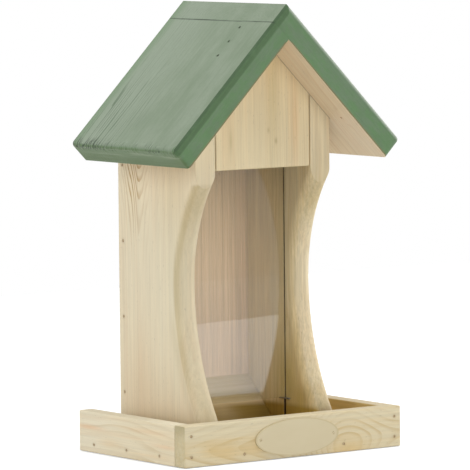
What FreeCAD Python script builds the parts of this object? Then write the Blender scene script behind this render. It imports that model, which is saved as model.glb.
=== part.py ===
"""Wall-mounted bird feeder: a hopper with a clear pane over a shallow tray, under a lift-off gable roof.

Millimetres. +Z is up and the front faces -Y. The origin is the bottom centre of the whole feeder,
so the wall plane is at +Y and the tray's underside is at Z = 0.
"""
import FreeCAD
import Part
import math
import os

from FreeCAD import Vector

# Stock
board = 18.0               # planed board of the sides, the back and the roof
thin_board = 12.0          # thin board of the rails and the gable panel
edge_ease = 1.0            # softened arris on sawn edges
touch = 1e-4               # two places this close count as one

# Hopper
hopper_width = 86.0        # clear width between the side boards
side_depth = 98.0          # wall plane to the upright front edge of a side board
curve_upper_radius = 125.0 # concave front edge of a side board, above its deepest point
curve_lower_radius = 185.0 # the same edge below that point
curve_depth = 22.0         # how far the curve reaches behind the upright front edge
curve_height = 125.0       # height of the curve's deepest point above the ground
curve_roundover = 8.0      # round-over along the concave edge

# Roof
ridge_height = 328.0
roof_pitch = 45.0          # degrees
roof_slope_length = 144.0  # ridge to eave, along the slope
roof_length = 130.0        # wall plane to the front of the roof
roof_roundover = 3.0       # round-over of the stained outer edges
gable_bottom = 208.0       # lower edge of the gable panel
gable_side_gap = 1.2       # gable panel to each side board

# Tray
tray_width = 196.0
tray_depth = 133.0         # wall plane to the front of the front rail
rail_height = 30.0
floor_thickness = 12.0

# Pane
pane_thickness = 2.0
pane_setback = 33.5        # upright front edge to the middle of the pane
pane_bottom = 34.6         # lower edge of the pane
groove_depth = 5.0
groove_play = 0.2          # pane to groove wall, on each face
pane_edge_play = 0.5       # pane edge to groove bottom
pane_lift = 4.0            # travel that the closed roof leaves
pane_top_play = 1.0        # left over above the pane at full lift
pane_seat_gap = 0.3        # pane to staple

# Seed chute
chute_thickness = 9.0
chute_top = 48.0           # height where the chute meets the back board
chute_foot_gap = 8.0       # pane to the chute's foot
chute_end_gap = 0.4        # chute to each side board

# Staples
staple_wire = 1.2          # wire diameter
staple_crown = 12.0        # width across the legs' centres
staple_leg = 8.0

# Nails
nail_diameter = 1.5
nail_head_diameter = 2.2
nail_head_thickness = 0.9
nail_sink = 0.3            # head below the surface
nail_point = 2.5
nail_bite = 15.0           # length held in the second board
nail_play = 0.05           # nail to the wall of its hole
back_nail_inset = 6.0      # side board's rear edge to its nails
back_nail_low = 41.0
back_nail_pitch = 56.0
back_nail_count = 4
gable_nail_first = 24.0    # ridge to the first nail, along the slope
gable_nail_pitch = 14.0
gable_nail_count = 3
gable_nail_stagger = 1.5   # left and right rows stand off the panel's middle by this
ridge_nail_margin = 22.0   # end nails to the roof's ends
ridge_nail_count = 3
corner_nail_margin = 7.5   # nails to the front rail's top and bottom edges
front_nail_spacing = 90.0
rail_nail_margin = 19.0    # first and last nail to the ends of a side rail
rail_nail_count = 3
foot_nail_inset = 20.0     # upright front edge to the front foot nail
foot_nail_spacing = 52.0
back_foot_nail_spacing = 60.0
chute_nail_spacing = 30.0
chute_nail_drop = 10.0     # chute's top to its nails
chute_nail_bite = 8.0

# Label plate
label_height = 27.0
label_thickness = 1.0
label_offset = 2.0         # plate's middle to the right of the feeder's middle
label_pin_spacing = 66.0
label_pin_margin = 4.5     # pin to the plate's rounded end
label_pin_diameter = 1.2
label_pin_head_diameter = 2.4
label_pin_head_thickness = 0.5
label_pin_bite = 8.0

# Wall fixing
wall_hole_diameter = 5.0
wall_hole_spacing = 50.0
wall_hole_height = 235.0   # above the gable panel's lower edge, so the panel hides them

# Derived places
overall_depth = max(tray_depth + label_thickness, roof_length)
wall_y = overall_depth / 2
front_y = wall_y - side_depth
roof_front_y = wall_y - roof_length
tray_front_y = wall_y - tray_depth
rail_inner_y = tray_front_y + thin_board
back_inner_y = wall_y - board
pane_y = front_y + pane_setback
gable_middle_y = front_y + thin_board / 2

inner_x = hopper_width / 2
outer_x = inner_x + board
tray_x = tray_width / 2
rail_inner_x = tray_x - thin_board

label_width = label_pin_spacing + 2 * label_pin_margin

pitch = math.radians(roof_pitch)
roof_drop = board / math.cos(pitch)
apex_z = ridge_height - roof_drop
deep_y = front_y + curve_depth


def roof_underside(x):
    """Height of the roof's underside at a distance x from the middle."""
    return apex_z - abs(x) * math.tan(pitch)


def block(x0, x1, y0, y1, z0, z1):
    """Box between two corners."""
    return Part.makeBox(x1 - x0, y1 - y0, z1 - z0, Vector(x0, y0, z0))


def prism(points, extent):
    """Solid swept from a closed outline along one vector."""
    return Part.Face(Part.makePolygon(points + points[:1])).extrude(extent)


def front_prism(outline, y0, y1):
    """Solid from an outline of (x, z) points, between two depths."""
    return prism([Vector(x, y0, z) for x, z in outline], Vector(0, y1 - y0, 0))


def side_prism(outline, x0, x1):
    """Solid from an outline of (y, z) points, between two widths."""
    return prism([Vector(x0, y, z) for y, z in outline], Vector(x1 - x0, 0, 0))


def soften(shape, radius, chosen):
    """Rounds the edges that a test picks."""
    return shape.makeFillet(radius, [edge for edge in shape.Edges if chosen(edge)])


def ease_all(shape):
    """Softens every arris of a plain board."""
    return soften(shape, edge_ease, lambda edge: True)


def lies_on(edge, value):
    """Tells whether both ends and the middle of an edge give zero for a signed distance."""
    ends = [vertex.Point for vertex in edge.Vertexes] + [edge.CenterOfMass]
    return all(abs(value(point)) < touch for point in ends)


def mirrored(shape):
    """The same shape on the other side of the feeder's middle."""
    return shape.mirror(Vector(0, 0, 0), Vector(1, 0, 0))


def spread(middle, pitch_length, count):
    """Evenly spaced values about a middle."""
    first = middle - pitch_length * (count - 1) / 2
    return [first + pitch_length * index for index in range(count)]


def between(first, last, count):
    """Evenly spaced values from first to last."""
    return [first + (last - first) * index / (count - 1) for index in range(count)]


class Fastener:
    """A nail or pin: where it enters, which way it goes and how deep it reaches."""

    def __init__(self, entry, direction, length, shank=nail_diameter, head=nail_head_diameter,
                 head_thickness=nail_head_thickness, sink=nail_sink):
        self.direction = Vector(direction).normalize()
        self.entry = Vector(entry)
        self.length = length
        self.shank = shank
        self.head = head
        self.head_thickness = head_thickness
        self.sink = sink

    def at(self, depth):
        """Point on the axis at a depth below the surface."""
        return self.entry + self.direction * depth

    def solid(self):
        """Flat head, round shank and a short point."""
        neck = self.sink + self.head_thickness
        tip = self.length - nail_point
        head = Part.makeCylinder(self.head / 2, self.head_thickness, self.at(self.sink), self.direction)
        shank = Part.makeCylinder(self.shank / 2, tip - neck, self.at(neck), self.direction)
        point = Part.makeCone(self.shank / 2, self.shank / 8, nail_point, self.at(tip), self.direction)
        return head.fuse([shank, point]).removeSplitter()

    def hole(self):
        """The hole that it fills, open at the surface."""
        neck = self.sink + self.head_thickness + nail_play
        mouth = Part.makeCylinder(self.head / 2 + nail_play, 2 * neck, self.at(-neck), self.direction)
        shaft = Part.makeCylinder(self.shank / 2 + nail_play, self.length + nail_play, self.at(0), self.direction)
        return mouth.fuse(shaft)


def drilled(shape, *groups):
    """A board with the holes of the fasteners that pass through it."""
    return shape.cut([item.hole() for group in groups for item in group])


def hardware(group):
    """One node of separate fasteners."""
    return Part.makeCompound([item.solid() for item in group])


# Fasteners
def slope_point(side, along, y):
    """Point on the roof's outer face, by its distance from the ridge along the slope."""
    return Vector(side * along * math.cos(pitch), y, ridge_height - along * math.sin(pitch))


def gable_nail_row(side):
    """Nails through one roof board into the gable panel's sloping edge."""
    inward = Vector(-side * math.sin(pitch), 0, -math.cos(pitch))
    y = gable_middle_y + side * gable_nail_stagger
    places = [gable_nail_first + gable_nail_pitch * index for index in range(gable_nail_count)]
    return [Fastener(slope_point(side, along, y), inward, board + nail_bite) for along in places]


def ridge_nail_row():
    """Nails through the right roof board, along the middle of the left board."""
    x = board / (4 * math.sin(pitch))
    z = ridge_height - board / (4 * math.cos(pitch))
    down_left = Vector(-math.cos(pitch), 0, -math.sin(pitch))
    places = between(roof_front_y + ridge_nail_margin, wall_y - ridge_nail_margin, ridge_nail_count)
    return [Fastener(Vector(x, y, z), down_left, board + nail_bite) for y in places]


def back_nail_row(side):
    """Nails through one side board into the back board's edge."""
    heights = [back_nail_low + back_nail_pitch * index for index in range(back_nail_count)]
    y = wall_y - back_nail_inset
    return [Fastener(Vector(side * outer_x, y, z), (-side, 0, 0), board + nail_bite) for z in heights]


def corner_nail_set():
    """Nails through the front rail into the ends of the side rails."""
    heights = [corner_nail_margin, rail_height - corner_nail_margin]
    middle = tray_x - thin_board / 2
    places = [(side * middle, z) for side in (-1, 1) for z in heights]
    return [Fastener(Vector(x, tray_front_y, z), (0, 1, 0), thin_board + nail_bite) for x, z in places]


def front_nail_row():
    """Nails through the front rail into the floor's front edge."""
    z = floor_thickness / 2
    places = spread(0, front_nail_spacing, 2)
    return [Fastener(Vector(x, tray_front_y, z), (0, 1, 0), thin_board + nail_bite) for x in places]


def rail_nail_row(side):
    """Nails through one side rail into the floor's side edge."""
    z = floor_thickness / 2
    places = between(rail_inner_y + rail_nail_margin, wall_y - rail_nail_margin, rail_nail_count)
    return [Fastener(Vector(side * tray_x, y, z), (-side, 0, 0), thin_board + nail_bite) for y in places]


def foot_nail_row(side):
    """Nails from beneath into the foot of one side board."""
    x = side * (inner_x + board / 2)
    places = [front_y + foot_nail_inset, front_y + foot_nail_inset + foot_nail_spacing]
    return [Fastener(Vector(x, y, 0), (0, 0, 1), floor_thickness + nail_bite) for y in places]


def back_foot_nail_row():
    """Nails from beneath into the foot of the back board."""
    y = wall_y - board / 2
    places = spread(0, back_foot_nail_spacing, 2)
    return [Fastener(Vector(x, y, 0), (0, 0, 1), floor_thickness + nail_bite) for x in places]


def chute_nail_row():
    """Nails from behind, through the back board into the chute."""
    z = chute_top - chute_nail_drop
    places = spread(0, chute_nail_spacing, 2)
    return [Fastener(Vector(x, wall_y, z), (0, -1, 0), board + chute_nail_bite) for x in places]


def label_pin_row():
    """Pins through the label plate into the front rail."""
    face_y = tray_front_y - label_thickness
    places = spread(label_offset, label_pin_spacing, 2)
    sizes = dict(shank=label_pin_diameter, head=label_pin_head_diameter,
                 head_thickness=label_pin_head_thickness, sink=0.0)
    length = label_thickness + label_pin_bite
    return [Fastener(Vector(x, face_y, rail_height / 2), (0, 1, 0), length, **sizes) for x in places]


gable_nails = {side: gable_nail_row(side) for side in (-1, 1)}
ridge_nails = ridge_nail_row()
back_nails = {side: back_nail_row(side) for side in (-1, 1)}
corner_nails = corner_nail_set()
front_nails = front_nail_row()
rail_nails = {side: rail_nail_row(side) for side in (-1, 1)}
foot_nails = {side: foot_nail_row(side) for side in (-1, 1)}
back_foot_nails = back_foot_nail_row()
chute_nails = chute_nail_row()
label_pins = label_pin_row()


# Roof
def eave(side, depth):
    """Corner of a roof board's square lower end, at a depth below its outer face."""
    x = roof_slope_length * math.cos(pitch) - depth * math.sin(pitch)
    z = ridge_height - roof_slope_length * math.sin(pitch) - depth * math.cos(pitch)
    return (side * x, z)


def down_slope(point):
    """Distance of a point from the ridge, measured along the slope."""
    return abs(point.x) * math.cos(pitch) + (ridge_height - point.z) * math.sin(pitch)


def roof_board(outline):
    """Board with rounded edges where its outer face, its front and its lower end meet."""

    def rounded(edge):
        outer = lies_on(edge, lambda p: p.z + abs(p.x) * math.tan(pitch) - ridge_height)
        front = lies_on(edge, lambda p: p.y - roof_front_y)
        lower = lies_on(edge, lambda p: down_slope(p) - roof_slope_length)
        return [outer, front, lower].count(True) > 1

    return soften(front_prism(outline, roof_front_y, wall_y), roof_roundover, rounded)


lap_point = (-board / (2 * math.sin(pitch)), ridge_height - board / (2 * math.cos(pitch)))
ridge_point = (0, ridge_height)
apex_point = (0, apex_z)


def right_roof_board():
    """Runs up to the ridge and laps over the left board's upper end."""
    body = roof_board([ridge_point, eave(1, 0), eave(1, board), apex_point, lap_point])
    return drilled(body, gable_nails[1], ridge_nails)


def left_roof_board():
    """Butts against the underside of the right board."""
    body = roof_board([lap_point, apex_point, eave(-1, board), eave(-1, 0)])
    return drilled(body, gable_nails[-1], ridge_nails)


def front_gable_panel():
    """Five-sided panel under the roof's front, clear of the side boards."""
    half = inner_x - gable_side_gap
    outline = [(-half, gable_bottom), (half, gable_bottom), (half, roof_underside(half)),
               apex_point, (-half, roof_underside(half))]
    body = front_prism(outline, front_y, front_y + thin_board)
    body = soften(body, edge_ease, lambda edge: lies_on(edge, lambda p: p.z - gable_bottom))
    return drilled(body, gable_nails[-1], gable_nails[1])


# Hopper
def under_roof(shape):
    """A wall cut off along the roof's underside."""
    reach = outer_x + board
    outline = [(-reach, roof_underside(reach)), apex_point, (reach, roof_underside(reach)),
               (reach, ridge_height), (-reach, ridge_height)]
    return shape.cut(front_prism(outline, -overall_depth, overall_depth))


curve_arcs = [(curve_upper_radius, 180), (curve_lower_radius, -180)]


def roundover_ring(face_x, inward, radius, turn):
    """What a round-over cutter takes off one arris of the concave edge, above or below its deepest point."""
    slope = curve_roundover * (1 - math.sqrt(0.5))
    start = Vector(face_x, deep_y + curve_roundover, curve_height)
    middle = Vector(face_x + inward * slope, deep_y + slope, curve_height)
    end = Vector(face_x + inward * curve_roundover, deep_y, curve_height)
    corner = Vector(face_x, deep_y, curve_height)
    arc = Part.Arc(start, middle, end).toShape()
    wire = Part.Wire([arc, Part.makeLine(end, corner), Part.makeLine(corner, start)])
    return Part.Face(wire).revolve(Vector(0, deep_y - radius, curve_height), Vector(1, 0, 0), turn)


def curve_point(radius, rise):
    """Point of the concave edge at a height above its deepest point."""
    return Vector(inner_x, deep_y - radius + math.sqrt(radius ** 2 - rise ** 2), curve_height + rise)


def curve_arc(radius, low, high):
    """Part of the concave edge between two heights above its deepest point."""
    middle = curve_point(radius, (low + high) / 2)
    return Part.Arc(curve_point(radius, low), middle, curve_point(radius, high)).toShape()


def side_outline():
    """Closed outline of the right side board's inner face, before the roof's bevel."""
    foot = floor_thickness - curve_height
    tongue = math.sqrt(curve_upper_radius ** 2 - (curve_upper_radius - curve_depth) ** 2)
    corners = [(front_y, ridge_height), (wall_y, ridge_height), (wall_y, floor_thickness)]
    points = [Vector(inner_x, y, z) for y, z in corners]
    points = [curve_point(curve_upper_radius, tongue)] + points + [curve_point(curve_lower_radius, foot)]
    arcs = [curve_arc(curve_lower_radius, foot, 0), curve_arc(curve_upper_radius, 0, tongue)]
    return Part.Wire(arcs + [Part.makeLine(a, b) for a, b in zip(points, points[1:])])


def groove():
    """Saw kerf for the pane in the right side board's inner face."""
    half = pane_thickness / 2 + groove_play
    return block(inner_x - board, inner_x + groove_depth, pane_y - half, pane_y + half, 0, ridge_height)


def side_board_blank():
    """Right side board before drilling: shaped, rounded over, grooved and bevelled."""
    body = Part.Face(side_outline()).extrude(Vector(board, 0, 0))

    def upright(edge):
        front = lies_on(edge, lambda p: p.y - front_y)
        rear = lies_on(edge, lambda p: p.y - wall_y)
        return (front or rear) and edge.BoundBox.ZLength > board

    body = soften(body, edge_ease, upright)
    faces = [(inner_x, 1), (outer_x, -1)]
    rings = [roundover_ring(x, inward, radius, turn) for x, inward in faces for radius, turn in curve_arcs]
    return under_roof(body.cut(rings + [groove()]))


def staple_path():
    """Centre line of the right staple: leg, crown across the groove, leg."""
    crown_x = inner_x - staple_wire / 2
    leg_x = inner_x + staple_leg
    z = pane_bottom - pane_seat_gap - staple_wire / 2
    near_y = pane_y - staple_crown / 2
    far_y = pane_y + staple_crown / 2
    return [Vector(leg_x, near_y, z), Vector(crown_x, near_y, z), Vector(crown_x, far_y, z), Vector(leg_x, far_y, z)]


def staple_rod(start, end, radius):
    """Round rod between two points."""
    return Part.makeCylinder(radius, (end - start).Length, start, end - start)


def pane_staple():
    """Right staple: a bent wire with rounded bends."""
    points = staple_path()
    radius = staple_wire / 2
    rods = [staple_rod(start, end, radius) for start, end in zip(points, points[1:])]
    bends = [Part.makeSphere(radius, point) for point in points[1:-1]]
    return rods[0].fuse(rods[1:] + bends).removeSplitter()


def staple_holes():
    """Holes for the right staple's legs."""
    points = staple_path()
    radius = staple_wire / 2 + nail_play
    reach = Vector(nail_play, 0, 0)
    return [staple_rod(points[1], points[0] + reach, radius), staple_rod(points[2], points[3] + reach, radius)]


def right_side_board():
    """Right side board with its nail and staple holes."""
    return drilled(side_board_blank().cut(staple_holes()), back_nails[1], foot_nails[1])


def left_side_board():
    """Mirror of the right side board."""
    return drilled(mirrored(side_board_blank().cut(staple_holes())), back_nails[-1], foot_nails[-1])


def back_board():
    """Rear wall between the side boards, up to the roof, with two holes for wall screws."""
    body = under_roof(block(-inner_x, inner_x, back_inner_y, wall_y, floor_thickness, ridge_height))
    mouths = [Vector(x, back_inner_y - board, wall_hole_height) for x in spread(0, wall_hole_spacing, 2)]
    drill = [Part.makeCylinder(wall_hole_diameter / 2, 3 * board, mouth, Vector(0, 1, 0)) for mouth in mouths]
    return drilled(body.cut(drill), back_nails[-1], back_nails[1], back_foot_nails, chute_nails)


def seed_chute():
    """Sloping board from the back board down to the floor behind the pane."""
    foot_y = pane_y + pane_thickness / 2 + chute_foot_gap
    run = back_inner_y - foot_y
    rise = chute_top - floor_thickness
    slant = math.hypot(run, rise)
    foot_length = chute_thickness * slant / rise
    end_height = chute_thickness * slant / run
    outline = [(back_inner_y, chute_top), (foot_y, floor_thickness), (foot_y + foot_length, floor_thickness),
               (back_inner_y, chute_top - end_height)]
    half = inner_x - chute_end_gap
    return drilled(side_prism(outline, -half, half), chute_nails)


def clear_pane():
    """Clear sheet in the grooves, standing on the staples."""
    half = inner_x + groove_depth - pane_edge_play
    top = roof_underside(half) - pane_lift - pane_top_play
    return block(-half, half, pane_y - pane_thickness / 2, pane_y + pane_thickness / 2, pane_bottom, top)


# Tray
def tray_floor():
    """Base board between the rails."""
    body = block(-rail_inner_x, rail_inner_x, rail_inner_y, wall_y, 0, floor_thickness)
    return drilled(body, front_nails, rail_nails[-1], rail_nails[1], foot_nails[-1], foot_nails[1], back_foot_nails)


def side_rail(side):
    """Rail along one side of the floor, behind the front rail."""
    near, far = sorted((side * rail_inner_x, side * tray_x))
    body = ease_all(block(near, far, rail_inner_y, wall_y, 0, rail_height))
    return drilled(body, rail_nails[side], corner_nails)


def tray_front_rail():
    """Rail across the front, covering the ends of the side rails."""
    body = ease_all(block(-tray_x, tray_x, tray_front_y, rail_inner_y, 0, rail_height))
    return drilled(body, corner_nails, front_nails, label_pins)


def label_plate():
    """Thin oval plate on the front rail."""
    centre = Vector(label_offset, tray_front_y - label_thickness, rail_height / 2)
    oval = Part.Ellipse(centre + Vector(label_width / 2, 0, 0), centre + Vector(0, 0, label_height / 2), centre)
    body = Part.Face(Part.Wire(oval.toShape())).extrude(Vector(0, label_thickness, 0))
    return drilled(body, label_pins)


nodes = {
    "left_roof_board": left_roof_board(),
    "right_roof_board": right_roof_board(),
    "front_gable_panel": front_gable_panel(),
    "gable_nails": hardware(gable_nails[-1] + gable_nails[1]),
    "ridge_nails": hardware(ridge_nails),
    "left_side_board": left_side_board(),
    "right_side_board": right_side_board(),
    "back_board": back_board(),
    "left_back_nails": hardware(back_nails[-1]),
    "right_back_nails": hardware(back_nails[1]),
    "seed_chute": seed_chute(),
    "chute_nails": hardware(chute_nails),
    "clear_pane": clear_pane(),
    "left_pane_staple": mirrored(pane_staple()),
    "right_pane_staple": pane_staple(),
    "tray_floor": tray_floor(),
    "tray_front_rail": tray_front_rail(),
    "tray_left_rail": side_rail(-1),
    "tray_right_rail": side_rail(1),
    "rail_corner_nails": hardware(corner_nails),
    "front_rail_nails": hardware(front_nails),
    "left_rail_nails": hardware(rail_nails[-1]),
    "right_rail_nails": hardware(rail_nails[1]),
    "base_nails": hardware(foot_nails[-1] + foot_nails[1] + back_foot_nails),
    "label_plate": label_plate(),
    "label_pins": hardware(label_pins),
}

os.makedirs("parts", exist_ok=True)
for name, shape in nodes.items():
    shape.exportStep(os.path.join("parts", name + ".step"))
    box = shape.BoundBox
    print(f"{name}: solids {len(shape.Solids)}, valid {shape.isValid()}, volume {shape.Volume:.1f}, "
          f"x {box.XMin:.2f} {box.XMax:.2f}, y {box.YMin:.2f} {box.YMax:.2f}, z {box.ZMin:.2f} {box.ZMax:.2f}")
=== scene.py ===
"""Looks of a wall-mounted bird feeder: pale softwood boards, a green stained roof and a clear pane.

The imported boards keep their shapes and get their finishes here, in metres and in the feeder's own
frame. Finishes work in millimetres of Object coordinates, so that a ring or a fibre has its real size.
"""

import logging
import math
from dataclasses import dataclass, field
from enum import Enum
from typing import Any, Optional, Union

import bpy
import numpy as np
from mathutils import Matrix, Vector


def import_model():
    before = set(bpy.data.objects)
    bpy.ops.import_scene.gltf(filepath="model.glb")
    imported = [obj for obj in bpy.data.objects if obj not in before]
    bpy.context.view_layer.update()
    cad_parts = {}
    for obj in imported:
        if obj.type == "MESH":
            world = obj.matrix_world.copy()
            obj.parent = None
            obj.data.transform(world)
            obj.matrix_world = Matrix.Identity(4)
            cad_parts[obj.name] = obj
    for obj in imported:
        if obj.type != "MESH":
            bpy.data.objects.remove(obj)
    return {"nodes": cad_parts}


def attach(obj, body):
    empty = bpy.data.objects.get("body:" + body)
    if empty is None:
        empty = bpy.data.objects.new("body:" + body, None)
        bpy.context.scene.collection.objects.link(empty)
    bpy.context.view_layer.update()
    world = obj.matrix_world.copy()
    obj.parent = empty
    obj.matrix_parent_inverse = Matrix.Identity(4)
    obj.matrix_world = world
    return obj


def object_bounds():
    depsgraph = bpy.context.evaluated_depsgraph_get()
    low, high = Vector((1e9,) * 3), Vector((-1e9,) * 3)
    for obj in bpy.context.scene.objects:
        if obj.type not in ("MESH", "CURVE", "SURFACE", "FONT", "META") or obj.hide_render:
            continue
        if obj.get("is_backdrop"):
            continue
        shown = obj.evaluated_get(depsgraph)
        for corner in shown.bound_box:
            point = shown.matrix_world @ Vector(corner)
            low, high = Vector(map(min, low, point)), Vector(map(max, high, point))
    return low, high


LOG = logging.getLogger("bird_feeder")

Colour = tuple[int, int, int]
Pair = tuple[float, float]
Place = tuple[float, float, float]
Socket = bpy.types.NodeSocket
Material = bpy.types.Material
Number = Union["Value", float]
Paint = Union[Socket, Colour]
Feed = Union["Value", Socket, float, tuple[float, ...]]
Swirls = list[tuple["Knot", "Value"]]
Nodes = dict[str, bpy.types.Object]

LEFTWARD: Place = (-1.0, 0.0, 0.0)
RIGHTWARD: Place = (1.0, 0.0, 0.0)
FORWARD: Place = (0.0, -1.0, 0.0)
UPWARD: Place = (0.0, 0.0, 1.0)
SLANT = math.sqrt(0.5)
CRISP_RIM: Pair = (0.25, 0.45)
TURNED_FACE: Pair = (0.45, 0.85)
MILLIMETRES = 1000.0
IMAGE_SIDE = 470


class Side(Enum):
    """A half of the feeder, by the sign of X."""

    LEFT = -1
    RIGHT = 1

    @property
    def word(self) -> str:
        """The half as it stands in the names of nodes."""
        return self.name.lower()

    @property
    def outward(self) -> Place:
        """Unit normal of the roof's weather face on that half."""
        return self.value * SLANT, 0.0, SLANT

    @property
    def downhill(self) -> Place:
        """Unit normal of the roof's lower end on that half."""
        return self.value * SLANT, 0.0, -SLANT


class Grain(Enum):
    """How a board's fibres run: a turn about Y in degrees, then which axis is along, across and through."""

    RAIL_FRONT = (0.0, "XZY")
    RAIL_SIDE = (0.0, "YZX")
    UPRIGHT_SIDE = (0.0, "ZYX")
    UPRIGHT_FRONT = (0.0, "ZXY")
    FLOOR = (0.0, "XYZ")
    LEFT_SLOPE = (225.0, "XYZ")
    RIGHT_SLOPE = (-45.0, "XYZ")

    @property
    def turn(self) -> float:
        """Turn about Y, in radians."""
        return math.radians(self.value[0])

    @property
    def order(self) -> tuple[int, int, int]:
        """Which turned axis is along, across and through."""
        first, second, third = ("XYZ".index(letter) for letter in self.value[1])
        return first, second, third

    def axis(self, index: int) -> Place:
        """One direction of the board in the feeder's frame.

        Args:
            index: 0 for along, 1 for across and 2 for through.

        Returns:
            Its unit vector.
        """
        axis = Vector((0.0, 0.0, 0.0))
        axis[self.order[index]] = 1.0
        turned = Matrix.Rotation(-self.turn, 3, "Y") @ axis
        return turned.x, turned.y, turned.z

    @property
    def direction(self) -> Place:
        """Unit vector along the fibres."""
        return self.axis(0)

    @property
    def normal(self) -> Place:
        """Unit vector through the board."""
        return self.axis(2)


def linear(colour: Colour) -> tuple[float, float, float, float]:
    """Scene-linear colour of a display colour, by the sRGB curve.

    Args:
        colour: Red, green and blue from 0 to 255.

    Returns:
        Linear red, green, blue and a full alpha.
    """
    display = np.array(colour, float) / 255.0
    scene = np.where(display <= 0.04045, display / 12.92, ((display + 0.055) / 1.055) ** 2.4)
    return float(scene[0]), float(scene[1]), float(scene[2]), 1.0


@dataclass(frozen=True)
class Noise:
    """A smooth noise in a board.

    Attributes:
        cells: Cell size along, across and through the board, in millimetres.
        offset: Added to a board's seed, so that its noises differ.
        detail: Finer layers on top.
        roughness: Strength of these layers.
    """

    cells: Place
    offset: float
    detail: float = 2.0
    roughness: float = 0.5


class Value:
    """A number that nodes work out at each point of a surface, with plain arithmetic."""

    def __init__(self, graph: "Graph", socket: Socket) -> None:
        """Wraps one output of the graph's nodes."""
        self.graph = graph
        self.socket = socket

    def math(self, operation: str, *others: Number) -> "Value":
        """A Math node that takes this number first."""
        return self.graph.math(operation, self, *others)

    def __add__(self, other: Number) -> "Value":
        """Sum."""
        return self.math("ADD", other)

    def __sub__(self, other: Number) -> "Value":
        """Difference."""
        return self.math("SUBTRACT", other)

    def __rsub__(self, other: float) -> "Value":
        """Difference from a constant."""
        return self.graph.math("SUBTRACT", other, self)

    def __mul__(self, other: Number) -> "Value":
        """Product."""
        return self.math("MULTIPLY", other)

    def __truediv__(self, other: Number) -> "Value":
        """Quotient."""
        return self.math("DIVIDE", other)

    def __abs__(self) -> "Value":
        """Size without its sign."""
        return self.math("ABSOLUTE")

    def most(self, other: Number) -> "Value":
        """The larger of two numbers."""
        return self.math("MAXIMUM", other)

    def step(self, low: float, high: float) -> "Value":
        """Smooth rise between two limits, or a fall where the first is above the second.

        Args:
            low: Where the step is 0.
            high: Where it is 1.

        Returns:
            The step.
        """
        first, last = (0.0, 1.0) if low <= high else (1.0, 0.0)
        feeds = {"Value": self, "From Min": min(low, high), "From Max": max(low, high),
                 "To Min": first, "To Max": last}
        node = self.graph.node("ShaderNodeMapRange", feeds, interpolation_type="SMOOTHSTEP")
        return Value(self.graph, node.outputs[0])


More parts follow.
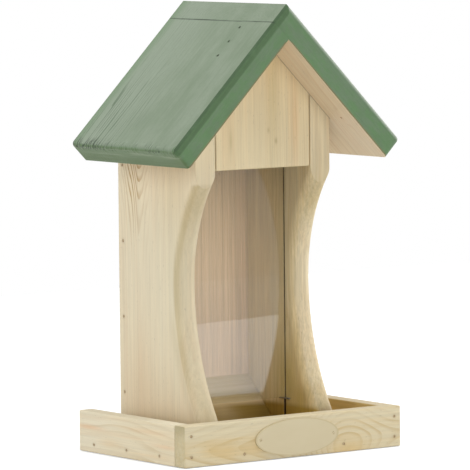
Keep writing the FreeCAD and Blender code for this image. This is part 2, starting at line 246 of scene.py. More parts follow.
class Graph:
    """The node tree of one material or world, with a short method for each kind of node."""

    def __init__(self, owner: Union[Material, bpy.types.World]) -> None:
        """Starts with the owner's tree emptied."""
        self.owner = owner
        owner.use_nodes = True
        self.tree = owner.node_tree
        self.tree.nodes.clear()

    @classmethod
    def named(cls, name: str) -> "Graph":
        """The empty tree of a new material."""
        return cls(bpy.data.materials.new(name))

    def node(self, kind: str, feeds: dict[Union[str, int], Feed], **settings: Any) -> bpy.types.Node:
        """Adds a node.

        Args:
            kind: Blender's name of the node type.
            feeds: A number, a link or a constant for each input socket.
            settings: Properties of the node itself.

        Returns:
            The new node.
        """
        node = self.tree.nodes.new(kind)
        for key, value in settings.items():
            setattr(node, key, value)
        for key, value in feeds.items():
            source = value.socket if isinstance(value, Value) else value
            if isinstance(source, bpy.types.NodeSocket):
                self.tree.links.new(source, node.inputs[key])
            else:
                node.inputs[key].default_value = source
        return node

    def math(self, operation: str, *terms: Number) -> Value:
        """One arithmetic step on numbers."""
        node = self.node("ShaderNodeMath", dict(enumerate(terms)), operation=operation)
        return Value(self, node.outputs[0])

    def place(self) -> Socket:
        """Object coordinates, in metres."""
        return self.node("ShaderNodeTexCoord", {}).outputs["Object"]

    def face(self, grain: Grain) -> "Face":
        """Coordinates of a board.

        Args:
            grain: How its fibres run.

        Returns:
            Where a point lies on it.
        """
        feeds = {"Vector": self.place(), "Rotation": (0.0, grain.turn, 0.0), "Scale": (MILLIMETRES,) * 3}
        turned = self.node("ShaderNodeMapping", feeds).outputs[0]
        parts = self.node("ShaderNodeSeparateXYZ", {0: turned}).outputs
        return Face(self, *(Value(self, parts[index]) for index in grain.order))

    def dot(self, vector: Socket, direction: Place) -> Value:
        """Product of a vector with a fixed direction."""
        node = self.node("ShaderNodeVectorMath", {0: vector, 1: direction}, operation="DOT_PRODUCT")
        return Value(self, node.outputs["Value"])

    def facing(self, direction: Place) -> Value:
        """Cosine between the surface and a fixed direction."""
        return self.dot(self.node("ShaderNodeNewGeometry", {}).outputs["Normal"], direction)

    def distance(self, first: Value, second: Value, centre: Pair) -> Value:
        """Distance of two coordinates from a centre."""
        flat = self.node("ShaderNodeCombineXYZ", {0: first - centre[0], 1: second - centre[1]}).outputs[0]
        return Value(self, self.node("ShaderNodeVectorMath", {0: flat}, operation="LENGTH").outputs["Value"])

    def blend(self, share: Number, first: Paint, second: Paint) -> Socket:
        """Mix of two colours by a share of the second."""
        pair = [linear(paint) if isinstance(paint, tuple) else paint for paint in (first, second)]
        return self.node("ShaderNodeMix", {0: share, 6: pair[0], 7: pair[1]}, data_type="RGBA").outputs[2]

    def layers(self, base: Paint, *coats: tuple[Number, Paint]) -> Paint:
        """Colours laid over a base one after the other, each by its share.

        Args:
            base: Colour below them.
            coats: Share and colour of each.

        Returns:
            The colour on top.
        """
        for share, paint in coats:
            base = self.blend(share, base, paint)
        return base

    def tinted(self, share: Number, colour: Paint, tint: Place) -> Socket:
        """A colour multiplied by a tint, as far as a share says."""
        product = self.node("ShaderNodeVectorMath", {0: colour, 1: tint}, operation="MULTIPLY").outputs[0]
        return self.blend(share, colour, product)

    def shaded(self, colour: Paint, shade: Value) -> Socket:
        """A colour multiplied by a number."""
        return self.node("ShaderNodeVectorMath", {0: colour, "Scale": shade}, operation="SCALE").outputs[0]

    def bump(self, height: Value, depth: float, strength: float) -> Socket:
        """Normal bent by a relief whose full height is a depth in millimetres."""
        feeds = {"Height": height, "Distance": depth / MILLIMETRES, "Strength": strength}
        return self.node("ShaderNodeBump", feeds).outputs[0]

    def finish(self, shader: bpy.types.Node) -> Material:
        """Closes the tree on one shader and hands over the material."""
        self.node("ShaderNodeOutputMaterial", {"Surface": shader.outputs[0]})
        return self.owner

    def principled(self, feeds: dict[Union[str, int], Feed]) -> Material:
        """Closes the tree on a Principled shader with these inputs."""
        return self.finish(self.node("ShaderNodeBsdfPrincipled", feeds))


@dataclass(frozen=True)
class Face:
    """Where a point lies on a board: millimetres along, across and through it."""

    graph: Graph
    along: Value
    across: Value
    through: Value

    def noise(self, kind: Noise, seed: float = 0.0) -> Value:
        """Seeded noise in the board.

        Args:
            kind: Which noise.
            seed: The board's seed.

        Returns:
            Noise from 0 to 1.
        """
        axes = zip((self.along, self.across, self.through), kind.cells)
        cells = {index: axis / size for index, (axis, size) in enumerate(axes)}
        vector = self.graph.node("ShaderNodeCombineXYZ", cells).outputs[0]
        feeds = {"Vector": vector, "W": seed + kind.offset, "Scale": 1.0, "Detail": kind.detail,
                 "Roughness": kind.roughness}
        node = self.graph.node("ShaderNodeTexNoise", feeds, noise_dimensions="4D")
        return Value(self.graph, node.outputs[0])


@dataclass(frozen=True)
class Spot:
    """A soft oval on a board's face.

    Attributes:
        along: Its middle along the fibres, in millimetres.
        across: Its middle across the face.
        reach: Half lengths, along and across.
    """

    along: float
    across: float
    reach: Pair

    def bell(self, face: Face) -> Value:
        """Bell over the oval: exp(-(a/ra)^2 - (c/rc)^2) of the offsets a and c from its middle.

        Args:
            face: Where a point lies.

        Returns:
            The bell, 1 in the middle.
        """
        a = (face.along - self.along) / self.reach[0]
        c = (face.across - self.across) / self.reach[1]
        return ((a * a + c * c) * -1.0).math("EXPONENT")


@dataclass(frozen=True)
class Knot(Spot):
    """A swirl that bends the rings round it, with or without a dark core.

    Attributes:
        pull: How far it pushes the rings aside.
        core: Radius of the dark core, 0 for none.
        glow: Share of the warm colour about it.
        accent: How much darker the rings are about it.
    """

    pull: float
    core: float = 0.0
    glow: float = 0.0
    accent: float = 0.0


@dataclass(frozen=True)
class Patch(Spot):
    """A soft oval of another colour. Some are streaks, blushes and flecks in the wood; many are painted
    shade and painted light.

    Attributes:
        colour: Its colour.
        share: How much of that colour its middle takes.
        towards: The way that its faces look, where it isn't on all of them.
        crisp: Whether its rim is sharp, like the edge of the painted shadow below the rails' tops.
    """

    colour: Colour
    share: float
    towards: Optional[Place] = None
    crisp: bool = False

    def cover(self, face: Face) -> Value:
        """Share of its colour at each point.

        Args:
            face: Where a point lies.

        Returns:
            The share.
        """
        bell = self.bell(face)
        share = (bell.step(*CRISP_RIM) if self.crisp else bell) * self.share
        return share if self.towards is None else share * face.graph.facing(self.towards).step(*TURNED_FACE)


@dataclass(frozen=True)
class Groove:
    """A saw kerf along the fibres, whose walls take painted shade.

    Attributes:
        middle: Its middle across the board, in millimetres.
        half: Half its width.
        mouth: Its mouth through the board, measured from the feeder's middle.
        floor: Its bottom, measured the same way.
    """

    middle: float
    half: float
    mouth: float
    floor: float

    def walls(self, face: Face) -> Value:
        """Marks the walls of the groove, which take painted shade.

        Args:
            face: Where a point lies.

        Returns:
            1 on the walls and 0 elsewhere.
        """
        wall = abs(face.across - self.middle).step(self.half + 0.25, self.half + 0.05)
        depth = abs(face.through)
        inside = depth.step(self.mouth, self.mouth + 0.3) * depth.step(self.floor + 0.6, self.floor + 0.2)
        return wall * inside


@dataclass(frozen=True)
class RoundedEdge:
    """Dark tint along a side board's curved front edge, where it is rounded over: partly the darker cut
    grain there, partly painted shade.

    It is full where the left side turns to the front, less on the sawn front itself and towards the
    foot, little where the front turns to the right, and none on the tongue above the curve. It sets
    in more softly on the curve's upper part, and on the flat side along its lower part, where it is
    painted shade that makes the rounding look wider than it is.

    Attributes:
        tint: What the full tint multiplies a colour by.
        centre: Centre of the curve, along and across the board, in millimetres.
        lower: Low on the curve, the sines of the turn where it starts, is full, fades and has faded.
        upper: The same, high on the curve.
        change: Heights over which low becomes high.
        far: Cosines to the left over which it is lost beyond the front.
        far_loss: Share that is lost there, and how much more high on the curve.
        flat: Cosines to the left of the flat side.
        onset: Distances from the curve over which the painted shade sets in on the flat side.
    """

    tint: Place = (0.75, 0.71, 0.61)
    centre: Pair = (125.0, -194.0)
    radius: float = 185.0
    lower: tuple[float, float, float, float] = (0.04, 0.3, 0.5, 0.97)
    upper: tuple[float, float, float, float] = (0.04, 0.66, 0.72, 0.98)
    faded: float = 0.6
    change: Pair = (130.0, 170.0)
    far: Pair = (0.05, -0.4)
    far_loss: Pair = (0.3, 0.45)
    flat: Pair = (0.8, 0.95)
    # Painted shade on the flat side beside the curve.
    onset: Pair = (16.0, 8.0)
    onset_share: float = 0.42
    onset_end: Pair = (112.0, 88.0)
    foot: Pair = (32.0, 76.0)
    foot_share: float = 0.6
    tongue: Pair = (200.0, 197.0)

    def share(self, face: Face) -> Value:
        """Share of the tint at each point.

        Args:
            face: Where a point lies.

        Returns:
            The share.
        """
        along, side = face.along, face.graph.facing(LEFTWARD)
        turned = (1.0 - side * side).math("SQRT")
        lower, upper = (turned.step(start, full) * (1.0 - turned.step(fades, gone) * self.faded)
                        for start, full, fades, gone in (self.lower, self.upper))
        height = along.step(*self.change)
        loss = side.step(*self.far) * (height * self.far_loss[1] + self.far_loss[0])
        edge = ((upper - lower) * height + lower) * (1.0 - loss)
        # Painted shade on the flat side next to the curve, so that the rounding looks wider.
        radius = face.graph.distance(along, face.across, self.centre) - self.radius
        onset = radius.step(*self.onset) * self.onset_share
        onset = onset * (side.step(*self.flat) * along.step(*self.onset_end))
        foot = along.step(*self.foot) * (1.0 - self.foot_share) + self.foot_share
        return edge.most(onset) * (foot * along.step(*self.tongue))


WANDER = Noise((120.0, 22.0, 22.0), 0.0, 1.0)
RIPPLE = Noise((38.0, 7.0, 7.0), 11.0)
FIBRE = Noise((26.0, 0.55, 0.55), 23.0, 3.0, 0.6)
STREAK = Noise((160.0, 6.5, 6.5), 31.0)
CLOUD = Noise((90.0, 30.0, 30.0), 43.0, 1.0)
BAND = Noise((140.0, 2.0, 2.0), 57.0, 1.0)
DUCT = Noise((3.4, 0.9, 0.9), 71.0, 1.0)
LATE_RISE: Pair = (0.42, 0.9)
LATE_END: Pair = (1.0, 0.93)
BARK_RADII: Pair = (1.15, 0.75)
HEART_RADII: Pair = (0.85, 0.55)
SAWN_FACE: Pair = (0.12, 0.85)
WOOD_RELIEF: Pair = (0.14, 0.55)
STAIN_RELIEF: Pair = (0.22, 0.6)
KNOT_BARK: Colour = (122, 88, 56)
KNOT_HEART: Colour = (176, 128, 82)
NAIL_STAIN: Colour = (150, 128, 98)
NAIL_REACH: Pair = (1.9, 1.5)
NAIL_SHARE = 0.3
END_GRAIN: Place = (0.86, 0.85, 0.79)
# Painted shade on the walls of the pane's kerf.
KERF_SHADE: Colour = (74, 56, 32)
ROUNDED_EDGE = RoundedEdge()


@dataclass(frozen=True)
class Coat:
    """What a finish gives a shader at each point: a colour, a relief and a roughness."""

    colour: Paint
    height: Value
    rough: Value
    fibre: Value
    rings: Value


@dataclass(frozen=True)
class Timber:
    """Planed softwood: growth rings about a heart line, fine fibres, warm streaks and knots.

    Attributes:
        name: Material name.
        grain: How the fibres run.
        early: Colour of the wide pale part of a ring.
        late: Colour of the thin dark part.
        warm: Colour of streaks and of knot surrounds.
        heart: Heart line of the rings, across and through, in millimetres.
        spacing: Ring width.
        rise: How far rings shift per millimetre along the fibres.
        sway: How far rings wander.
        contrast: Share of the dark colour in a ring's edge.
        streaks: Share of the warm colour in streaks.
        seed: Start of the noise.
        knots: Swirls and knots.
        nails: Nail places, along and across.
        rounded: How much of the dark tint a rounded edge takes, partly cut grain and partly painted shade.
        groove: A kerf, where the board has one.
        patches: Soft ovals of other colours, among them painted shade and painted light.
        gloss: Specular level, lower where seed dust dulls the wood.
        texture: Strength of fibres and fine bands in the colour.
        uneven: How much the ring width changes from year to year.
    """

    name: str
    grain: Grain
    early: Colour
    late: Colour
    warm: Colour
    heart: Pair
    spacing: float = 3.4
    rise: float = 0.0
    sway: float = 2.0
    contrast: float = 0.55
    streaks: float = 0.5
    seed: float = 0.0
    knots: tuple[Knot, ...] = ()
    nails: tuple[Pair, ...] = ()
    rounded: float = 0.0
    groove: Optional[Groove] = None
    patches: tuple[Patch, ...] = ()
    gloss: float = 0.28
    texture: float = 1.0
    uneven: float = 1.0

    def ringed(self, face: Face, cells: Pair, offset: float, detail: float) -> Value:
        """Noise with one cell size in millimetres along the fibres and one in ring widths across."""
        width = cells[1] * self.spacing
        return face.noise(Noise((cells[0], width, width), offset, detail), self.seed)

    def late_wood(self, face: Face, ripple: Value, swirls: Swirls) -> Value:
        """Share of a ring's thin dark part.

        Rings are the fractional part of r / spacing, where r is the distance to the heart line plus
        the rise along the fibres, a slow wander, the lean and rich years that make rings narrow and
        wide, and the push of each knot.

        Args:
            face: Where a point lies.
            ripple: A quick noise.
            swirls: Knots and their bells.

        Returns:
            The share.
        """
        wander = face.noise(WANDER, self.seed) * (4.0 * self.sway) - 2.0 * self.sway
        quick = ripple * (0.9 * self.sway) - 0.45 * self.sway
        swing = 3.2 * self.spacing * self.uneven
        growth = self.ringed(face, (2000.0, 3.4), 83.0, 2.0) * swing - 0.5 * swing
        radius = face.graph.distance(face.across, face.through, self.heart)
        rings = radius + face.along * self.rise + wander + quick + growth
        for knot, bell in swirls:
            rings = rings + bell * knot.pull
        phase = (rings / self.spacing).math("FRACT")
        return phase.step(*LATE_RISE) * phase.step(*LATE_END)

    def figure(self, face: Face, dark: Value, tone: Value, swirls: Swirls) -> Paint:
        """Colour of the rings under warm streaks, knot surrounds and patches.

        Args:
            face: Where a point lies.
            dark: Share of a ring's dark part.
            tone: How strongly rings show.
            swirls: Knots and their bells.

        Returns:
            The colour.
        """
        visible = tone * (1.8 * self.contrast)
        for knot, bell in swirls:
            if knot.accent > 0.0:
                visible = visible + bell * knot.accent
        broad = abs(face.graph.facing(self.grain.normal))
        rings = dark * (visible * (broad * 0.7 + 0.3))
        blush = face.noise(STREAK, self.seed).step(0.46, 0.68) * self.streaks
        glows = [(bell * knot.glow, self.warm) for knot, bell in swirls if knot.glow > 0.0]
        covers = [(patch.cover(face), patch.colour) for patch in self.patches]
        return face.graph.layers(self.early, (rings, self.late), (blush, self.warm), *glows, *covers)

    def marked(self, face: Face, ripple: Value, colour: Paint) -> Paint:
        """Adds dark knot cores, nail stains, end grain, the rounded edge's tint, partly painted shade, and
        painted shade on the kerf's walls.

        Args:
            face: Where a point lies.
            ripple: A quick noise.
            colour: Colour of the plain wood.

        Returns:
            The colour.
        """
        graph = face.graph
        for knot in self.knots:
            if knot.core > 0.0:
                radii = graph.distance(face.along, face.across, (knot.along, knot.across)) / knot.core
                ragged = ripple * 0.5 + (radii - 0.25)
                colour = graph.layers(
                    colour, (ragged.step(*BARK_RADII), KNOT_BARK), (ragged.step(*HEART_RADII), KNOT_HEART))
        stains = [Spot(*nail, NAIL_REACH).bell(face) * NAIL_SHARE for nail in self.nails]
        colour = graph.layers(colour, *((stain, NAIL_STAIN) for stain in stains))
        sawn = abs(graph.facing(self.grain.direction)).step(*SAWN_FACE)
        colour = graph.tinted(sawn, colour, END_GRAIN)
        # Tint of the rounded edge: partly its darker cut grain, partly painted shade.
        if self.rounded > 0.0:
            share = ROUNDED_EDGE.share(face) * self.rounded
            colour = graph.tinted(share, colour, ROUNDED_EDGE.tint)
        # Painted shade on the kerf's walls.
        if self.groove is not None:
            colour = graph.blend(self.groove.walls(face), colour, KERF_SHADE)
        return colour

    def paint(self, graph: Graph) -> Coat:
        """Works out the wood at each point.

        Args:
            graph: The material's nodes.

        Returns:
            Colour, relief and roughness of bare wood.
        """
        face = graph.face(self.grain)
        ripple, fibre, cloud, band, duct = (
            face.noise(kind, self.seed) for kind in (RIPPLE, FIBRE, CLOUD, BAND, DUCT))
        swirls = [(knot, knot.bell(face)) for knot in self.knots]
        dark = self.late_wood(face, ripple, swirls)
        tone = (cloud * 1.3 + 0.1) * self.ringed(face, (180.0, 1.4), 91.0, 1.0).step(0.28, 0.72)
        colour = self.figure(face, dark, tone, swirls)
        lively = fibre * 0.26 + band * 0.2 - 0.23
        colour = graph.shaded(colour, lively * self.texture + 1.0 - duct.step(0.66, 0.76) * 0.16)
        colour = self.marked(face, ripple, colour)
        return Coat(colour, dark * tone * 0.4 + fibre * 0.55, fibre * 0.16 + 0.56, fibre, dark)

    def material(self) -> Material:
        """Bare wood on a soft, matt shader.

        Returns:
            The new material.
        """
        graph = Graph.named(self.name)
        coat = self.paint(graph)
        return graph.principled({
            "Base Color": coat.colour,
            "Roughness": coat.rough,
            "Specular IOR Level": self.gloss,
            "Normal": graph.bump(coat.height, *WOOD_RELIEF),
        })


BRUSH = Noise((110.0, 2.2, 2.2), 5.0)
MOTTLE = Noise((26.0, 15.0, 15.0), 7.0, 4.0, 0.55)
END_STREAK = Noise((60.0, 42.0, 1.5), 9.0)
JOINT_FILL = Noise((90.0, 16.0, 90.0), 13.0, 1.0)
BROKEN_LINE = Noise((34.0, 4.5, 4.5), 17.0, 2.0, 0.6)
BLOT = Noise((10.0, 5.0, 5.0), 19.0, 3.0, 0.6)
TORN = Noise((9.0, 1.3, 2.6), 61.0, 2.0, 0.6)
SPECK = Noise((2.6, 1.3, 1.3), 67.0, 2.0, 0.6)


@dataclass(frozen=True)
class Slope(Face):
    """What the faces of one roof board share.

    The run is down from the ridge and the depth below the weather face, both in millimetres. weather
    is 1 on weather faces and left is 1 on the roof's left half.
    """

    wood: Coat
    run: Value
    depth: Value
    weather: Value
    left: Value
    mottle: Value
    blot: Value


@dataclass(frozen=True)
class RoofStain:
    """Green stain brushed over a roof board, with the underside left bare.

    The weather face is top, bare where the brush ran dry, pale towards the rear and edge at the wall,
    with line beside raised grain. The front is fresh and dull, with a lip at its foot. Its rounded edge
    has a rim on the left slope, with painted shade on its upper part, and a painted highlight on the
    right one. The lower end is end, with paler streaks of painted sheen, and darker and greener towards
    its lower edge. A crack is in joints and torn fibres, and a painted shadow line lies on the underside
    over the gable panel. Lengths are in millimetres, and a pair is where a change begins and where it
    ends.
    """

    timber: Timber
    side: Side
    top: Colour = (114, 130, 106)
    bare: Colour = (131, 144, 124)
    pale: Colour = (140, 152, 134)
    line: Colour = (78, 98, 72)
    edge: Colour = (97, 127, 89)
    fresh: Colour = (93, 128, 84)
    dull: Colour = (101, 125, 95)
    rim: Colour = (76, 103, 68)
    # Painted highlight along the right slope's rounded front edge, where it catches the light.
    wear_and_highlight: Colour = (124, 138, 118)
    # Painted shade on the upper part of the left slope's rounded front edge.
    shoulder_shade: Colour = (58, 82, 52)
    end: Colour = (94, 116, 80)
    # Paler streaks of painted sheen on the lower end.
    end_sheen: Colour = (124, 138, 112)
    # Darker and greener towards the lower end's lower edge.
    end_bottom: Colour = (78, 100, 58)
    crack: Colour = (44, 60, 40)
    lip: Colour = (138, 108, 72)
    # Painted shadow line on the underside, over the gable panel.
    gap_shadow: Colour = (104, 78, 52)
    ridge: float = 328.0
    front: float = -63.0
    slope: float = 144.0
    lap: float = 18.0
    rounding: float = 3.0
    band: float = 4.5
    # Depth of the painted highlight on the right slope's front edge.
    highlight_band: float = 2.2
    fade: float = 1.6
    rear: Pair = (-12.0, 44.0)
    wall: Pair = (54.0, 67.0)
    raised: Pair = (40.0, 132.0)
    # Depths over which the lower end gets darker towards its lower edge.
    end_bottom_span: Pair = (5.0, 15.0)
    frayed: Pair = (9.0, 2.0)
    frayed_depth: Pair = (6.5, 2.5)
    torn_rear: Pair = (10.0, 45.0)
    split_rear: Pair = (8.0, 50.0)
    bruise: float = -34.0
    bruise_half: Pair = (14.0, 6.0)
    seam_half: Pair = (0.9, 0.25)
    lip_depth: Pair = (1.6, 0.5)
    lip_run: Pair = (1.0, 5.0)
    shadow: float = -31.7
    shadow_half: Pair = (0.9, 0.4)
    contact: Pair = (104.5, 104.0)

    def depth(self, graph: Graph, side: Side) -> Value:
        """Depth below the weather face of one slope: (ridge - z - x side) / sqrt 2.

        Args:
            graph: The material's nodes.
            side: Which slope.

        Returns:
            Millimetres.
        """
        x, y, z = side.outward
        scaled = (x * MILLIMETRES, y * MILLIMETRES, z * MILLIMETRES)
        return self.ridge * SLANT - graph.dot(graph.place(), scaled)

    def survey(self, graph: Graph) -> Slope:
        """Works out what the faces share.

        Args:
            graph: The material's nodes.

        Returns:
            Places and noises on the board.
        """
        face = graph.face(self.timber.grain)
        left, right = (graph.facing(side.outward) for side in Side)
        x = Value(graph, graph.node("ShaderNodeSeparateXYZ", {0: graph.place()}).outputs[0])
        return Slope(
            graph, face.along, face.across, face.through, self.timber.paint(graph),
            run=face.along + self.ridge * SLANT, depth=self.depth(graph, self.side),
            weather=left.most(right).step(0.55, 0.95), left=x.step(0.001, 0.0),
            mottle=face.noise(MOTTLE, self.timber.seed), blot=face.noise(BLOT, self.timber.seed))

    def raised_lines(self, board: Slope) -> Value:
        """Share of the dark lines beside the raised grain, strongest low and to the rear.

        Args:
            board: What the faces share.

        Returns:
            The share.
        """
        broken = board.noise(BROKEN_LINE, self.timber.seed).step(0.34, 0.6)
        growing = board.across.step(*self.rear) * (board.run.step(*self.raised) * 0.75 + 0.15)
        return board.wood.rings.step(0.55, 0.97) * broken * (growing + 0.08)

    def weather_face(self, board: Slope, lines: Value) -> Paint:
        """Brushed stain of the weather face, paler to the rear and darker beside the wall.

        Args:
            board: What the faces share.
            lines: Share of the lines beside the raised grain.

        Returns:
            The colour.
        """
        graph, across = board.graph, board.across
        brush = board.noise(BRUSH, self.timber.seed)
        dry = (board.mottle * 0.7 + brush * 0.3).step(0.3, 0.7)
        return graph.layers(
            self.top, (dry, self.bare), (across.step(*self.rear) * 0.6, self.pale), (lines, self.line),
            (across.step(*self.wall) * 0.55, self.edge))

    def edges(self, board: Slope) -> Socket:
        """Blotched stain of the front with its thin lip, and the lower end with paler streaks of painted
        sheen, darker towards its lower edge.

        Args:
            board: What the faces share.

        Returns:
            The colour.
        """
        graph, depth = board.graph, board.depth
        deep = depth.step(*(self.lap - length for length in self.lip_depth))
        bottom = deep * board.run.step(*(self.lap + length for length in self.lip_run))
        front = graph.layers(
            self.fresh, (board.blot.step(0.32, 0.68), self.dull),
            (board.mottle.step(0.35, 0.75) * 0.3, self.rim), (bottom * 0.5, self.lip))
        # Paler streaks of painted sheen, and darker towards the lower edge.
        streak = board.noise(END_STREAK, self.timber.seed).step(0.5, 0.68)
        end = graph.layers(self.end, (streak, self.end_sheen), (depth.step(*self.end_bottom_span) * 0.85, self.end_bottom))
        return graph.blend(graph.facing(self.side.downhill).step(0.4, 0.9), front, end)

    def rimmed(self, board: Slope, colour: Socket) -> tuple[Socket, Value]:
        """Adds the stain along the rounded front edges, with painted shade on the left rim's upper part and
        a painted highlight along the right edge.

        Args:
            board: What the faces share.
            colour: Stain so far.

        Returns:
            The stain, and the share of the thick rim.
        """
        graph = board.graph
        near_front = (board.across - self.front).step(self.rounding + 0.3, self.rounding - 0.5)
        # Painted highlight where the right slope's rounded front edge catches the light.
        if self.side is Side.RIGHT:
            thin = board.depth.step(self.highlight_band + self.fade, self.highlight_band)
            colour = graph.blend(near_front * thin, colour, self.wear_and_highlight)
        near_top = self.depth(graph, Side.LEFT).step(self.band + self.fade, self.band)
        rim = near_front * near_top * board.left
        # Painted shade on the part of the left rim that faces up.
        upper = graph.facing(Side.LEFT.outward).step(0.35, 0.8)
        thick_and_shaded = graph.layers(
            self.rim, (upper, self.shoulder_shade), (board.blot.step(0.45, 0.75) * 0.3, self.edge))
        return graph.blend(rim, colour, thick_and_shaded), rim

    def torn(self, board: Slope) -> Value:
        """Share of torn fibres along the eave, most of them to the rear and on a bruise.

        Args:
            board: What the faces share.

        Returns:
            The share.
        """
        across = board.across
        lip = board.run.step(*(self.slope - length for length in self.frayed))
        lip = lip * board.depth.step(*self.frayed_depth)
        spread = across.step(*self.torn_rear).most(abs(across - self.bruise).step(*self.bruise_half))
        notch = board.noise(TORN, self.timber.seed).step(0.52, 0.64) * (spread * 0.65 + 0.2)
        return lip * notch.most(board.wood.rings * across.step(*self.split_rear))

    def joint(self, board: Slope) -> Value:
        """Share of the partly filled joint where one board laps over the other.

        Args:
            board: What the faces share.

        Returns:
            The share.
        """
        seam = abs(self.depth(board.graph, Side.RIGHT) - self.lap).step(*self.seam_half)
        filled = board.noise(JOINT_FILL, self.timber.seed).step(0.35, 0.6)
        return seam * board.left * board.weather * (filled * 0.7 + 0.3)

    def underside(self, board: Slope) -> Socket:
        """Bare wood with a thin painted shadow line over the gable and the side boards.

        Args:
            board: What the faces share.

        Returns:
            The colour.
        """
        # Painted shadow line along the underside over the gable.
        gap_shadow = abs(board.across - self.shadow).step(*self.shadow_half)
        contact = gap_shadow * board.run.step(*self.contact)
        return board.graph.blend(contact * 0.45, board.wood.colour, self.gap_shadow)

    def material(self) -> Material:
        """Stain on every face but the underside.

        Returns:
            The new material.
        """
        graph = Graph.named(self.timber.name)
        board = self.survey(graph)
        lines, ragged, joint = self.raised_lines(board), self.torn(board), self.joint(board)
        colour = graph.blend(board.weather, self.edges(board), self.weather_face(board, lines))
        colour, rim = self.rimmed(board, colour)
        colour = graph.layers(colour, (ragged, self.crack), (joint * 0.9, self.crack))
        fibre = board.wood.fibre
        speck = board.noise(SPECK, self.timber.seed)
        colour = graph.shaded(colour, fibre * 0.3 + speck * 0.16 + 0.77)
        below = graph.facing(self.side.outward).step(-0.6, -0.85)
        relief = fibre * 0.4 - lines * 0.9 - ragged - joint * 1.2
        return graph.principled({
            "Base Color": graph.blend(below, colour, self.underside(board)),
            "Roughness": board.mottle * 0.2 + rim * 0.2 + 0.42,
            "Specular IOR Level": 0.4,
            "Normal": graph.bump(relief, *STAIN_RELIEF),
        })


@dataclass(frozen=True)
class ClearSheet:
    """Clear acrylic, faintly smeared, that lets light into the hopper.

    Attributes:
        passing: Colour of the light that it lets through.
        index: How strongly it bends and mirrors light.
        dulled: Roughness of a full smear.
    """

    name: str = "clear_acrylic"
    tint: Colour = (247, 249, 248)
    passing: Colour = (240, 242, 241)
    index: float = 1.68
    smear: Noise = Noise((60.0, 18.0, 18.0), 3.0, 3.0)
    dulled: float = 0.015

    def material(self) -> Material:
        """Transmission for the eye, and a plain see-through shader for shadows.

        Returns:
            The new material.
        """
        graph = Graph.named(self.name)
        sheet = graph.node("ShaderNodeBsdfPrincipled", {
            "Base Color": linear(self.tint),
            "Roughness": graph.face(Grain.UPRIGHT_FRONT).noise(self.smear) * self.dulled,
            "IOR": self.index,
            "Transmission Weight": 1.0,
        })
        clear = graph.node("ShaderNodeBsdfTransparent", {0: linear(self.passing)})
        shadow = graph.node("ShaderNodeLightPath", {}).outputs["Is Shadow Ray"]
        return graph.finish(
            graph.node("ShaderNodeMixShader", {0: shadow, 1: sheet.outputs[0], 2: clear.outputs[0]}))


@dataclass(frozen=True)
class Steel:
    """Dull wire or nail steel with darker, duller spots, and its metallic share."""

    name: str
    bright: Colour
    dull: Colour
    metal: float
    tarnish: Noise = Noise((0.8, 0.8, 0.8), 2.0, 3.0)

    def material(self) -> Material:
        """Metal mixed by a fine noise.

        Returns:
            The new material.
        """
        graph = Graph.named(self.name)
        spots = graph.face(Grain.FLOOR).noise(self.tarnish).step(0.42, 0.62)
        return graph.principled({
            "Base Color": graph.blend(spots, self.bright, self.dull),
            "Metallic": self.metal,
            "Roughness": spots * 0.25 + 0.38,
            "Normal": graph.bump(spots, 0.03, 0.4),
        })


@dataclass(frozen=True)
class PlateFinish:
    """Bare matt plate: a pale face with a fine brushed texture and a rim darkened by wear.

    Its centre and its half width and height are in millimetres.
    """

    name: str = "label_plate"
    face: Colour = (208, 196, 165)
    wear_and_highlight: Colour = (189, 173, 134)
    centre: Pair = (2.0, 15.0)
    half: Pair = (37.5, 13.5)
    brush: Noise = Noise((30.0, 0.8, 0.8), 8.0, 3.0, 0.6)
    cloud: Noise = Noise((22.0, 9.0, 9.0), 9.0)

    def material(self) -> Material:
        """Brushed face that darkens towards its oval rim.

        Returns:
            The new material.
        """
        graph = Graph.named(self.name)
        face = graph.face(Grain.RAIL_FRONT)
        brush = face.noise(self.brush)
        u = (face.along - self.centre[0]) / self.half[0]
        v = (face.across - self.centre[1]) / self.half[1]
        rim = (u * u + v * v).step(0.86, 1.0) * 0.55
        tone = face.noise(self.cloud) * 0.35 + rim
        return graph.principled({
            "Base Color": graph.blend(tone, self.face, self.wear_and_highlight),
            "Roughness": brush * 0.2 + 0.45,
            "Specular IOR Level": 0.3,
            "Normal": graph.bump(brush, 0.04, 0.5),
        })


NAIL_STEEL = Steel("nail_steel", (188, 165, 130), (140, 115, 84), 0.15)
STAINED_NAIL = Steel("stained_nail", (62, 70, 52), (40, 46, 34), 0.2)
STAPLE_WIRE = Steel("staple_wire", (168, 164, 156), (118, 112, 102), 0.9)
PIN_METAL = Steel("label_pin", (204, 190, 158), (164, 146, 112), 0.5)


def dress(nodes: Nodes, name: str, material: Material) -> None:
    """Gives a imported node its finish.

    Args:
        nodes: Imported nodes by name.
        name: The node.
        material: Its finish.
    """
    for slot in nodes[name].material_slots:
        slot.material = material
    LOG.info("dressed %s in %s", name, material.name)


